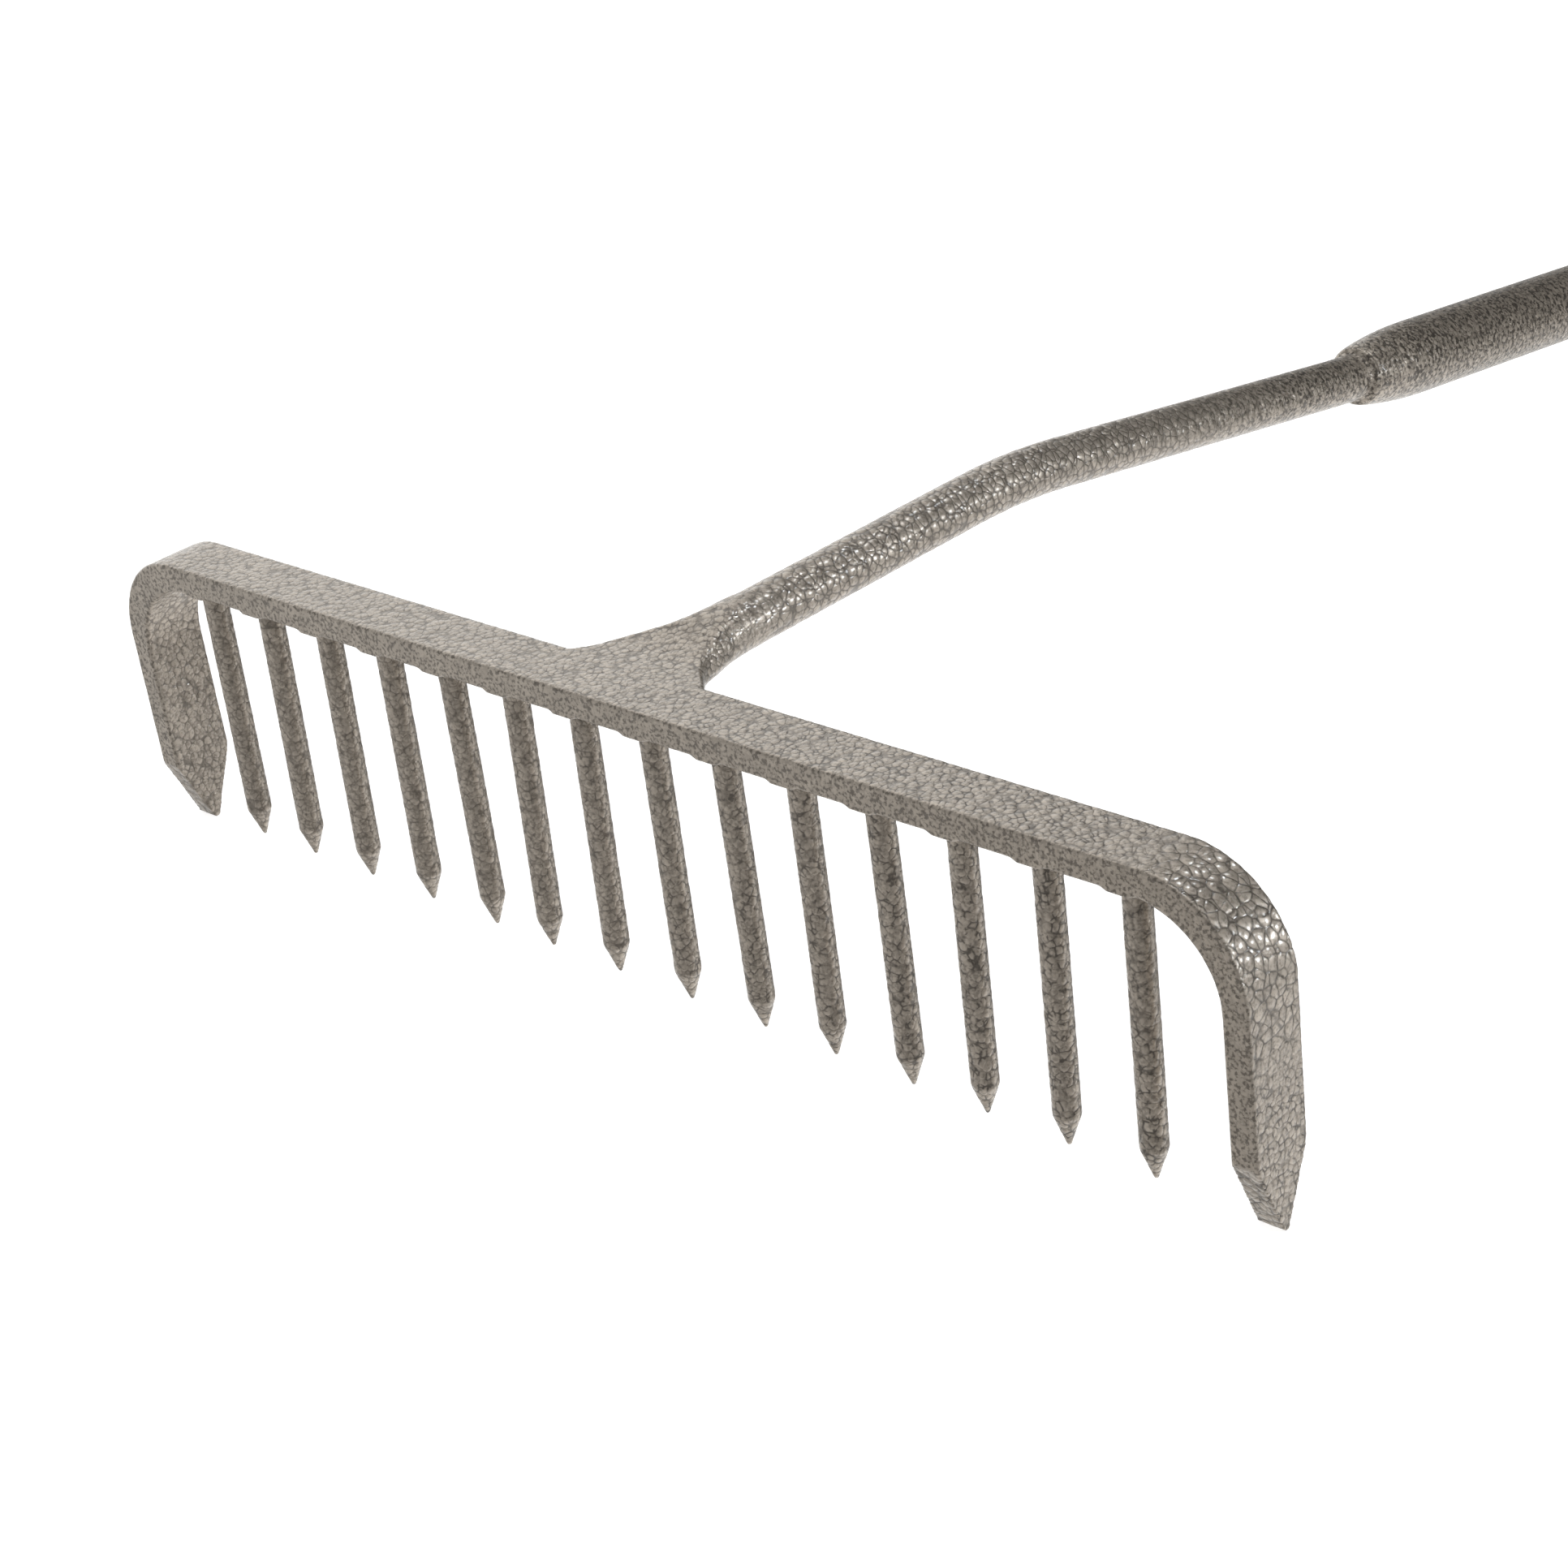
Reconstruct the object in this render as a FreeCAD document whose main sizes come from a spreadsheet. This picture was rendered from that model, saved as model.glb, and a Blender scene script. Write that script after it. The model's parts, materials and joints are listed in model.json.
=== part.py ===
"""Level-head garden rake: a steel head of fourteen round tines on an ash handle.

Millimetres. The pieces are drawn in the head's own frame and then laid on the ground:
  X runs along the bar, Y from the bar's front face towards the handle, Z up from the bar's top face.
On the ground the two end tines and the handle's butt touch z = 0, and the origin is the middle of
the rake's outline on the ground.
"""
import FreeCAD, Part
import math
import os
import Sketcher

# name, value, meaning. Millimetres and degrees.
DIMENSIONS = [
    ("right_reach", 210, "bar: middle to the outer face of the right end tine"),
    ("left_reach", 212, "bar: middle to the outer face of the left end tine, at its bulge"),
    ("bar_depth", 20.4, "bar: front face to back face"),
    ("bar_thickness", 8, "bar: top face to underside"),
    ("right_bend", 30, "bar: outer radius of the right bend"),
    ("left_bend", 27, "bar: outer radius of the left bend"),
    ("inner_bend", 25, "bar: inner radius of both bends"),
    ("right_lean", 0, "bar: right end tine, inwards"),
    ("left_lean", 2.2, "bar: left end tine, inwards"),
    ("edge_round", 0.8, "bar: rounding of the long edges"),
    ("taper_start", 72.5, "end tine: top face to the start of the point"),
    ("end_reach", 94.2, "end tine: top face to the tip"),
    ("end_tip", 2, "end tine: width of the blunt tip"),
    ("tine_pitch", 26.77, "tines: spacing along the bar"),
    ("tine_inset", 7.5, "tines: front face of the bar to the tine's axis"),
    ("tine_diameter", 7.6, "tine"),
    ("tine_reach", 83.4, "tine: underside of the bar to the tip"),
    ("tine_point", 9, "tine: length of the conical point"),
    ("tine_tip", 1.3, "tine: diameter of the blunt tip"),
    ("seat_depth", 5, "bar: depth of the seat that a tine is set into"),
    ("collar_diameter", 17.6, "bar: upset collar around a tine's root"),
    ("collar_face", 15.2, "bar: diameter of the collar's lower face"),
    ("collar_height", 0.9, "bar: collar below the underside"),
    ("collar_root", 1, "bar: depth inside the underside at which a collar's solid starts"),
    ("rod_diameter", 15.6, "neck: round rod"),
    ("rod_height", -1.3, "neck: rod's axis from the plane of the bar's top face"),
    ("foot_end", 62, "neck: where the flared foot has become the round rod"),
    ("neck_bend_at", 176, "neck: vertex of the bend"),
    ("neck_bend", 254, "neck: radius of both bends"),
    ("neck_slope", 9.5, "neck: fall beyond the bend"),
    ("neck_set_at", 342, "neck: vertex of the slight set before the socket"),
    ("socket_slope", 7.5, "socket and handle: fall from the head's plane"),
    ("socket_gap", 10.5, "socket: from the neck's second vertex to the mouth"),
    ("neck_insert", 28, "neck: length inside the socket's nose"),
    ("socket_diameter", 25.4, "socket: parallel tube"),
    ("socket_wall", 1.5, "socket: wall of the tube"),
    ("socket_length", 205, "socket: mouth to rear end"),
    ("nose_length", 34, "socket: length of the swaged nose"),
    ("mouth_diameter", 20, "socket: nose at the mouth"),
    ("grip_length", 26, "socket: length of the nose that grips the neck"),
    ("flare_end", 62, "socket: mouth to the start of the full bore"),
    ("bead_length", 2.6, "weld bead: along the neck"),
    ("bead_height", 1.4, "weld bead: up the socket's end face"),
    ("bead_crown", 2.2, "weld bead: radius of its convex face"),
    ("handle_diameter", 28, "handle: shaft"),
    ("handle_length", 1372, "handle: tenon's end to butt"),
    ("handle_insert", 120, "handle: length of the tenon in the socket"),
    ("shoulder_length", 70, "handle: taper from the socket up to the full shaft"),
    ("tenon_lead", 6, "handle: length of the tenon's tapered end"),
    ("tenon_taper", 2, "handle: radius lost over the tenon's tapered end"),
    ("butt_round", 8, "handle: rounding of the butt"),
    ("rivet_diameter", 5, "rivet: shank"),
    ("rivet_head", 9, "rivet: head diameter"),
    ("rivet_rise", 2.2, "rivet: height of a head"),
    ("rivet_setback", 22, "rivet: axis from the socket's rear end"),
    ("overcut", 5, "how far a cut's outline runs past the metal it takes away"),
]

# How far each tine leans: degrees towards +X at the tip, from the left tine to the right.
TINE_LEANS = [0.4, -0.8, -0.6, 0, 0.9, -1.0, -0.6, 0.5, 1.3, 0.6, 0.9, -0.4, -0.6, -0.4]

# The neck's flared foot, from the bar's back face to the round rod. It flares further to the left.
# Each section is a rectangle with rounded corners: distance from the bar's front face, reach to the
# left, reach to the right, height of the top and of the bottom, radius of the top and of the bottom
# corners.
FOOT_SECTIONS = [
    (20.4, 29.6, 21.6, 0, -8, 0.8, 1.5),
    (24, 26.4, 18.2, 0, -8, 1.2, 2.5),
    (30, 23.5, 12.6, 0.2, -8.2, 2, 4),
    (37, 18.8, 10.2, 1.6, -8.6, 4, 5),
    (45, 12.1, 8.4, 4.3, -9, 6, 6.4),
    (54, 9, 7.8, 6.2, -9.1, 7.5, 7.4),
]
FOOT_COLUMNS = ("station", "left", "right", "top", "bottom", "top_round", "bottom_round")

TOLERANCE = 1e-6  # millimetres, when comparing an edge's place with a face's
LEAST_CUT = 1  # cubic millimetres that a cut has to take away

doc = FreeCAD.newDocument("rake")


def make_sheet():
    """The driving dimensions, one row each: value, name and meaning."""
    sheet = doc.addObject("Spreadsheet::Sheet", "dims")
    rows = list(DIMENSIONS)
    rows += [(f"lean_{i:02d}", lean, f"tine {i}: lean at the tip, towards +X")
             for i, lean in enumerate(TINE_LEANS, 1)]
    for i, section in enumerate(FOOT_SECTIONS, 1):
        rows += [(f"foot_{column}_{i}", number, f"neck's foot, section {i}: {column.replace('_', ' ')}")
                 for column, number in zip(FOOT_COLUMNS, section)]
    for row, (name, value, meaning) in enumerate(rows, 1):
        sheet.set(f"A{row}", str(value))
        sheet.set(f"B{row}", meaning)
        sheet.setAlias(f"A{row}", name)
    doc.recompute()
    return sheet


dims = make_sheet()


def value(expression):
    """What an expression on the sheet's names comes to."""
    return float(dims.evalExpression(str(expression)))


def origin_plane(body, role):
    return next(item for item in body.Origin.OriginFeatures if item.Role == role)


def outline(body, name, role, path, closed=True, offset=None):
    """A sketch through the path's vertices, each bound to the sheet.

    A vertex is (x, y), reached by a straight line, or (x, y, radius, turn), reached by an arc of
    less than half a circle that turns left (1) or right (-1).
    """
    sketch = body.newObject("Sketcher::SketchObject", name)
    sketch.AttachmentSupport = [(origin_plane(body, role), "")]
    sketch.MapMode = "FlatFace"
    if offset is not None:
        sketch.setExpression("AttachmentOffset.Base.z", offset)
    points = [FreeCAD.Vector(value(v[0]), value(v[1]), 0) for v in path]
    stops = list(range(1, len(path))) + ([0] if closed else [])
    ends = []
    for stop in stops:
        start, end = points[stop - 1], points[stop]
        if len(path[stop]) == 2:
            sketch.addGeometry(Part.LineSegment(start, end), False)
            ends.append((1, 2))
            continue
        radius, turn = value(path[stop][2]), path[stop][3]
        chord = end - start
        left = FreeCAD.Vector(-chord.y, chord.x, 0).normalize()
        rise = radius - math.sqrt(max(radius**2 - chord.Length**2 / 4, 0))
        middle = (start + end) * 0.5 - left * (rise * turn)
        arc_ends = (start, end) if turn > 0 else (end, start)
        sketch.addGeometry(Part.Arc(arc_ends[0], middle, arc_ends[1]), False)
        ends.append((1, 2) if turn > 0 else (2, 1))
    constrain(sketch, path, stops, ends, closed)
    return sketch


def constrain(sketch, path, stops, ends, closed):
    """Join the edges, and bind every vertex and radius to its expression."""
    bound = []

    def bind(name, kind, *args):
        index = sketch.addConstraint(Sketcher.Constraint(kind, *args[:-1], value(args[-1])))
        sketch.renameConstraint(index, name)
        bound.append((name, str(args[-1])))

    for edge, stop in enumerate(stops):
        first, last = ends[edge]
        following = (edge + 1) % len(stops)
        if closed or edge + 1 < len(stops):
            joint = ("Coincident", edge, last, following, ends[following][0])
            sketch.addConstraint(Sketcher.Constraint(*joint))
        if edge == 0 and not closed:
            bind("x_start", "DistanceX", -1, 1, 0, first, path[0][0])
            bind("y_start", "DistanceY", -1, 1, 0, first, path[0][1])
        bind(f"x_{stop}", "DistanceX", -1, 1, edge, last, path[stop][0])
        bind(f"y_{stop}", "DistanceY", -1, 1, edge, last, path[stop][1])
        if len(path[stop]) > 2:
            bind(f"radius_{stop}", "Radius", edge, path[stop][2])
    for name, expression in bound:
        sketch.setExpression(f"Constraints.{name}", expression)


def new_body(label):
    body = doc.addObject("PartDesign::Body", label)
    body.Label = label
    return body


def pad(body, name, sketch, length):
    """A pad to the far side of its sketch's plane: from an XZ sketch, towards +Y."""
    feature = body.newObject("PartDesign::Pad", name)
    feature.Profile = sketch
    feature.setExpression("Length", length)
    feature.Reversed = True
    doc.recompute()
    return feature


def cut_through(body, name, sketch):
    """A pocket through everything on both sides of its sketch. It has to take something away."""
    before = body.Shape.Volume
    feature = body.newObject("PartDesign::Pocket", name)
    feature.Profile = sketch
    feature.Type = 1
    feature.Midplane = True
    doc.recompute()
    if body.Shape.Volume > before - LEAST_CUT:
        raise RuntimeError(f"{name} cut nothing")


def revolve(body, name, sketch):
    feature = body.newObject("PartDesign::Revolution", name)
    feature.Profile = sketch
    feature.ReferenceAxis = (sketch, ["V_Axis"])
    feature.Angle = 360
    doc.recompute()


def turned(label, half_profile, role="XY_Plane"):
    """A piece turned about its sketch's vertical axis."""
    body = new_body(label)
    revolve(body, f"{label}_turned", outline(body, f"{label}_profile", role, half_profile))
    return body


def drill_for_rivet(body):
    """The rivet's hole, right through the body along X."""
    before = body.Shape.Volume
    feature = body.newObject("PartDesign::SubtractiveCylinder", f"{body.Label}_rivet_hole")
    feature.setExpression("Radius", "dims.rivet_diameter / 2")
    feature.setExpression("Height", "dims.handle_diameter * 2")
    feature.Placement = FreeCAD.Placement(
        FreeCAD.Vector(-value("dims.handle_diameter"), value("dims.socket_length - dims.rivet_setback"), 0),
        FreeCAD.Rotation(FreeCAD.Vector(0, 1, 0), 90),
    )
    doc.recompute()
    if body.Shape.Volume > before - LEAST_CUT:
        raise RuntimeError(f"the rivet's hole in {body.Label} cut nothing")


def tine_places():
    """Each tine's root on the bar's underside, turned by its lean, in the head's frame."""
    middle = (len(TINE_LEANS) - 1) / 2
    places = []
    for i in range(len(TINE_LEANS)):
        root = FreeCAD.Vector(
            (i - middle) * value("dims.tine_pitch"),
            value("dims.tine_inset"),
            -value("dims.bar_thickness"),
        )
        lean = value(f"dims.lean_{i + 1:02d}")
        places.append(FreeCAD.Placement(root, FreeCAD.Rotation(FreeCAD.Vector(0, 1, 0), -lean)))
    return places


def leg_side(side, name, thickness, height):
    """X of an end tine's face at a height: the outer face for no thickness, else the inner one."""
    lean = f"dims.{name}_lean"
    radius = f"(dims.{name}_bend - {thickness})"
    centre = f"(dims.{name}_reach - dims.{name}_bend)"
    fall = f"(-dims.{name}_bend - {radius} * sin({lean}) - ({height}))"
    return f"{side} * ({centre} + {radius} * cos({lean}) - tan({lean}) * {fall})"


def leg_top(name):
    """Height at which the outer bend ends and the straight end tine begins."""
    return f"-dims.{name}_bend * (1 + sin(dims.{name}_lean))"


def inner_bend(side, name):
    """Where the inner bend meets the underside, and where it meets the end tine's inner face."""
    lean = f"dims.{name}_lean"
    underside = "-dims.bar_thickness"
    corner = leg_side(side, name, "dims.bar_thickness", underside)
    setback = f"dims.inner_bend * tan((90 + {lean}) / 2)"
    on_bar = (f"{corner} - {side} * {setback}", underside)
    on_leg = (f"{corner} - {side} * {setback} * sin({lean})", f"{underside} - {setback} * cos({lean})")
    return on_bar, on_leg


def make_head_bar():
    """One flat bar with both ends bent down and pointed, and a seat for each round tine."""
    body = new_body("head_bar")
    tip = "-dims.end_reach"
    outer, inner = "0", "dims.bar_thickness"
    right_bar, right_leg = inner_bend(1, "right")
    left_bar, left_leg = inner_bend(-1, "left")
    path = [
        ("-(dims.left_reach - dims.left_bend)", "0", "dims.left_bend", -1),
        ("dims.right_reach - dims.right_bend", "0"),
        (leg_side(1, "right", outer, leg_top("right")), leg_top("right"), "dims.right_bend", -1),
        (leg_side(1, "right", outer, tip), tip),
        (leg_side(1, "right", inner, tip), tip),
        right_leg,
        (*right_bar, "dims.inner_bend", 1),
        left_bar,
        (*left_leg, "dims.inner_bend", 1),
        (leg_side(-1, "left", inner, tip), tip),
        (leg_side(-1, "left", outer, tip), tip),
        (leg_side(-1, "left", outer, leg_top("left")), leg_top("left")),
    ]
    bar_outline = outline(body, "bar_outline", "XZ_Plane", path)
    blank = pad(body, "bent_bar", bar_outline, "dims.bar_depth")
    soften_long_edges(body, blank)
    point_end_tines(body)
    raise_collars(body)
    for i, place in enumerate(tine_places(), 1):
        seat = body.newObject("PartDesign::SubtractiveCylinder", f"seat_{i:02d}")
        seat.setExpression("Radius", "dims.tine_diameter / 2")
        seat.setExpression("Height", "dims.seat_depth + dims.collar_height * 2")
        seat.Placement = place.multiply(FreeCAD.Placement(
            FreeCAD.Vector(0, 0, -2 * value("dims.collar_height")), FreeCAD.Rotation()))
    doc.recompute()
    return body


def soften_long_edges(body, blank):
    """Round the edges along the bar, but not its back edges where the neck is welded on."""
    names = []
    back = value("dims.bar_depth")
    for i, edge in enumerate(blank.Shape.Edges, 1):
        box = edge.BoundBox
        along = box.YLength < TOLERANCE
        level_at_back = abs(box.YMin - back) < TOLERANCE and box.ZLength < TOLERANCE
        straight_back = level_at_back and box.XLength > back
        tip_edge = box.ZMax < -value("dims.taper_start")
        if along and not straight_back and not tip_edge:
            names.append(f"Edge{i}")
    fillet = body.newObject("PartDesign::Fillet", "long_edges")
    fillet.Base = (blank, names)
    fillet.setExpression("Radius", "dims.edge_round")
    doc.recompute()


def point_end_tines(body):
    """Cut each end tine to a blunt point, from its front edge and from its back edge."""
    start = "-dims.taper_start"
    tip = "-dims.end_reach"
    below = "-dims.end_reach - dims.overcut"
    for name, edge, outwards in (("front_taper", "0", "-"), ("back_taper", "dims.bar_depth", "+")):
        corner = f"dims.bar_depth / 2 {outwards} dims.end_tip / 2"
        outside = f"{edge} {outwards} dims.overcut"
        path = [(edge, start), (corner, tip), (corner, below), (outside, below), (outside, start)]
        cut_through(body, name, outline(body, f"{name}_outline", "YZ_Plane", path))


def raise_collars(body):
    """The low collar that is upset around each tine's root, flush with the bar's front face."""
    profile = [
        ("0", "-dims.bar_thickness + dims.collar_root"),
        ("0", "-dims.bar_thickness - dims.collar_height"),
        ("dims.collar_face / 2", "-dims.bar_thickness - dims.collar_height"),
        ("dims.collar_diameter / 2", "-dims.bar_thickness"),
        ("dims.collar_diameter / 2", "-dims.bar_thickness + dims.collar_root"),
    ]
    for i, place in enumerate(tine_places(), 1):
        sketch = outline(body, f"collar_outline_{i:02d}", "XZ_Plane", profile)
        sketch.AttachmentOffset = FreeCAD.Placement(
            FreeCAD.Vector(place.Base.x, 0, -place.Base.y), FreeCAD.Rotation())
        revolve(body, f"collar_{i:02d}", sketch)
    width = "(dims.left_reach + dims.right_reach)"
    high = "dims.overcut"
    low = "-dims.bar_thickness - dims.collar_height - dims.overcut"
    around = [(f"-{width}", high), (f"-{width}", low), (width, low), (width, high)]
    sketch = outline(body, "front_face_outline", "XZ_Plane", around)
    before = body.Shape.Volume
    trim = body.newObject("PartDesign::Pocket", "front_face")
    trim.Profile = sketch
    trim.setExpression("Length", "dims.collar_diameter")
    trim.Reversed = True
    doc.recompute()
    front = body.Shape.optimalBoundingBox(False, False).YMin
    if abs(front) > 1e-3 or body.Shape.Volume > before - LEAST_CUT:
        raise RuntimeError("the collars were not trimmed to the front face")


def make_tine(number):
    """A round tine: a shank in the bar's seat, a parallel rod and a blunt conical point."""
    radius = "dims.tine_diameter / 2"
    return turned(f"tine_{number:02d}", [
        ("0", "dims.seat_depth"),
        ("0", "-dims.tine_reach"),
        ("dims.tine_tip / 2", "-dims.tine_reach"),
        (radius, "-dims.tine_reach + dims.tine_point"),
        (radius, "dims.seat_depth"),
    ], "XZ_Plane")


def foot_section(i):
    """A rectangle with rounded corners as eight edges, anticlockwise from its right side's foot."""
    left, right, top, bottom, top_round, bottom_round = (
        f"dims.foot_{column}_{i}" for column in FOOT_COLUMNS[1:])
    return [
        (right, f"{bottom} + {bottom_round}", bottom_round, 1),
        (right, f"{top} - {top_round}"),
        (f"{right} - {top_round}", top, top_round, 1),
        (f"{top_round} - {left}", top),
        (f"-{left}", f"{top} - {top_round}", top_round, 1),
        (f"-{left}", f"{bottom} + {bottom_round}"),
        (f"{bottom_round} - {left}", bottom, bottom_round, 1),
        (f"{right} - {bottom_round}", bottom),
    ]


def round_section(radius, height, flat_angle=20):
    """A circle cut into the same eight edges as a section of the foot."""
    path = []
    for quarter in (0, 90, 180, 270):
        for angle in (quarter - flat_angle, quarter + flat_angle):
            path.append((f"{radius} * cos({angle})", f"{height} + {radius} * sin({angle})", radius, 1))
    return path


def neck_spine():
    """The rod's centre line in the YZ plane: three straights joined by two tangent arcs."""
    slope, fall = "dims.neck_slope", "dims.socket_slope"
    first = f"dims.neck_bend * tan({slope} / 2)"
    second = f"dims.neck_bend * tan(({slope} - {fall}) / 2)"
    set_height = f"(dims.rod_height - (dims.neck_set_at - dims.neck_bend_at) * tan({slope}))"
    end = "(dims.socket_gap + dims.neck_insert)"
    return [
        ("dims.foot_end", "dims.rod_height"),
        (f"dims.neck_bend_at - {first}", "dims.rod_height"),
        (f"dims.neck_bend_at + {first} * cos({slope})", f"dims.rod_height - {first} * sin({slope})",
         "dims.neck_bend", -1),
        (f"dims.neck_set_at - {second} * cos({slope})", f"{set_height} + {second} * sin({slope})"),
        (f"dims.neck_set_at + {second} * cos({fall})", f"{set_height} - {second} * sin({fall})",
         "dims.neck_bend", 1),
        (f"dims.neck_set_at + {end} * cos({fall})", f"{set_height} - {end} * sin({fall})"),
    ]


def make_neck():
    """A round rod, forged flat and flared at the bar, gently bent, and set into the socket."""
    body = new_body("neck")
    circle = round_section("dims.rod_diameter / 2", "dims.rod_height")
    sections = [
        outline(body, f"foot_section_{i}", "XZ_Plane", foot_section(i), offset=f"-dims.foot_station_{i}")
        for i in range(1, len(FOOT_SECTIONS) + 1)
    ]
    sections.append(outline(body, "rod_start", "XZ_Plane", circle, offset="-dims.foot_end"))
    doc.recompute()
    foot = body.newObject("PartDesign::AdditiveLoft", "flared_foot")
    foot.Profile = sections[0]
    foot.Sections = sections[1:]
    doc.recompute()
    spine = outline(body, "rod_spine", "YZ_Plane", neck_spine(), closed=False)
    rod_section = outline(body, "rod_section", "XZ_Plane", circle, offset="-dims.foot_end")
    doc.recompute()
    rod = body.newObject("PartDesign::AdditivePipe", "bent_rod")
    rod.Profile = rod_section
    rod.Spine = (spine, [f"Edge{i + 1}" for i in range(5)])
    doc.recompute()
    return body


def make_socket():
    """A tube with one end swaged down to a nose that grips the neck, cross-drilled for the rivet."""
    outer = "dims.socket_diameter / 2"
    bore = f"({outer} - dims.socket_wall)"
    drop = "(dims.socket_diameter - dims.mouth_diameter) / 2"
    nose = f"((dims.nose_length * dims.nose_length + {drop} * {drop}) / (2 * {drop}))"
    body = turned("socket", [
        ("dims.rod_diameter / 2", "0"),
        ("dims.mouth_diameter / 2", "0"),
        (outer, "dims.nose_length", nose, -1),
        (outer, "dims.socket_length"),
        (bore, "dims.socket_length"),
        (bore, "dims.flare_end"),
        ("dims.rod_diameter / 2", "dims.grip_length"),
    ])
    drill_for_rivet(body)
    return body


def make_weld_bead():
    """The convex ring of weld that closes the socket's mouth onto the neck."""
    rod = "dims.rod_diameter / 2"
    return turned("socket_weld_bead", [
        (rod, "0"),
        (rod, "-dims.bead_length"),
        (f"{rod} + dims.bead_height", "0", "dims.bead_crown", 1),
    ])


def make_handle():
    """An ash shaft: a tenon in the socket, a shoulder up to full diameter, and a rounded butt."""
    tenon = "(dims.socket_diameter / 2 - dims.socket_wall)"
    shaft = "dims.handle_diameter / 2"
    start = "(dims.socket_length - dims.handle_insert)"
    end = f"({start} + dims.handle_length)"
    body = turned("handle", [
        ("0", start),
        (f"{tenon} - dims.tenon_taper", start),
        (tenon, f"{start} + dims.tenon_lead"),
        (tenon, "dims.socket_length"),
        ("dims.socket_diameter / 2", "dims.socket_length"),
        (shaft, "dims.socket_length + dims.shoulder_length"),
        (shaft, f"{end} - dims.butt_round"),
        (f"{shaft} - dims.butt_round", end, "dims.butt_round", 1),
        ("0", end),
    ])
    drill_for_rivet(body)
    return body


def primitive(kind, name, place, **sizes):
    """A Part primitive with its sizes bound to the sheet."""
    item = doc.addObject(f"Part::{kind}", name)
    for size, expression in sizes.items():
        item.setExpression(size, expression)
    item.Placement = place
    return item


def make_rivet():
    """The rivet that holds the handle: a shank across the socket, with two domed heads.

    A head is a ball cut off by the tube's outside, so that it sits on the tube all round.
    """
    crown = "dims.socket_diameter / 2"
    rise = "dims.rivet_rise"
    ball = f"(dims.rivet_head * dims.rivet_head / 4 + {rise} * {rise}) / (2 * {rise})"
    across = FreeCAD.Rotation(FreeCAD.Vector(0, 1, 0), 90)
    along = FreeCAD.Rotation(FreeCAD.Vector(1, 0, 0), 90)
    balls = doc.addObject("Part::MultiFuse", "rivet_balls")
    centre = FreeCAD.Vector(value(f"{crown} + dims.rivet_rise - {ball}"), 0, 0)
    balls.Shapes = [
        primitive("Sphere", name, FreeCAD.Placement(centre * side, across), Radius=ball)
        for name, side in (("left_ball", -1), ("right_ball", 1))
    ]
    middle = FreeCAD.Placement(FreeCAD.Vector(0, value("dims.rivet_head"), 0), along)
    tube = primitive("Cylinder", "tube_outside", middle, Radius=crown, Height="dims.rivet_head * 2")
    heads = doc.addObject("Part::Cut", "rivet_heads")
    heads.Base = balls
    heads.Tool = tube
    start = FreeCAD.Placement(FreeCAD.Vector(-value(f"{crown} + dims.rivet_rise / 2"), 0, 0), across)
    shank = primitive("Cylinder", "rivet_shank", start, Radius="dims.rivet_diameter / 2",
                      Height="dims.socket_diameter + dims.rivet_rise")
    rivet = doc.addObject("Part::MultiFuse", "handle_rivet")
    rivet.Label = "handle_rivet"
    rivet.Shapes = [heads, shank]
    doc.recompute()
    return rivet


def head_to_ground():
    """The turn about X that brings both the end tines' tips and the handle's butt to the ground.

    The butt's lower edge is an arc, so the ground is the line through the tips tangent to it.
    """
    fall = math.radians(value("dims.socket_slope"))
    mouth_y, mouth_z = socket_mouth()
    along = value("dims.socket_length - dims.handle_insert + dims.handle_length - dims.butt_round")
    below = value("dims.handle_diameter / 2 - dims.butt_round")
    arc_y = mouth_y + along * math.cos(fall) - below * math.sin(fall)
    arc_z = mouth_z - along * math.sin(fall) - below * math.cos(fall)
    tip_y = value("dims.bar_depth / 2 - dims.end_tip / 2")
    tip_z = -value("dims.end_reach")
    run, rise = arc_y - tip_y, arc_z - tip_z
    angle = math.asin(value("dims.butt_round") / math.hypot(run, rise)) - math.atan2(rise, run)
    turn = FreeCAD.Rotation(FreeCAD.Vector(1, 0, 0), math.degrees(angle))
    return FreeCAD.Placement(FreeCAD.Vector(), turn)


def socket_mouth():
    """Where the socket's axis starts, in the head's YZ plane."""
    slope = math.radians(value("dims.neck_slope"))
    fall = math.radians(value("dims.socket_slope"))
    set_at = value("dims.neck_set_at")
    set_z = value("dims.rod_height") - (set_at - value("dims.neck_bend_at")) * math.tan(slope)
    gap = value("dims.socket_gap")
    return set_at + gap * math.cos(fall), set_z - gap * math.sin(fall)


def lay_on_ground(pieces):
    """Place each piece in the head's frame, turn the whole rake onto the ground and centre it."""
    turn = head_to_ground()
    for piece, place in pieces:
        piece.Placement = turn.multiply(place)
    doc.recompute()
    box = Part.makeCompound([piece.Shape for piece, _ in pieces]).optimalBoundingBox(False, False)
    shift = FreeCAD.Vector(-(box.XMin + box.XMax) / 2, -(box.YMin + box.YMax) / 2, -box.ZMin)
    for piece, _ in pieces:
        piece.Placement = FreeCAD.Placement(shift, FreeCAD.Rotation()).multiply(piece.Placement)
    doc.recompute()
    return turn, shift, box


def check_document(pieces):
    """Stop if anything in the document failed, or a piece is not one valid solid."""
    for item in doc.Objects:
        if {"Invalid", "Error"} & set(item.State):
            raise RuntimeError(f"{item.Name} failed: {item.State}")
    for piece, _ in pieces:
        shape = piece.Shape
        if shape.isNull() or not shape.isValid() or len(shape.Solids) != 1:
            raise RuntimeError(f"{piece.Label} is not one valid solid")


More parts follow.
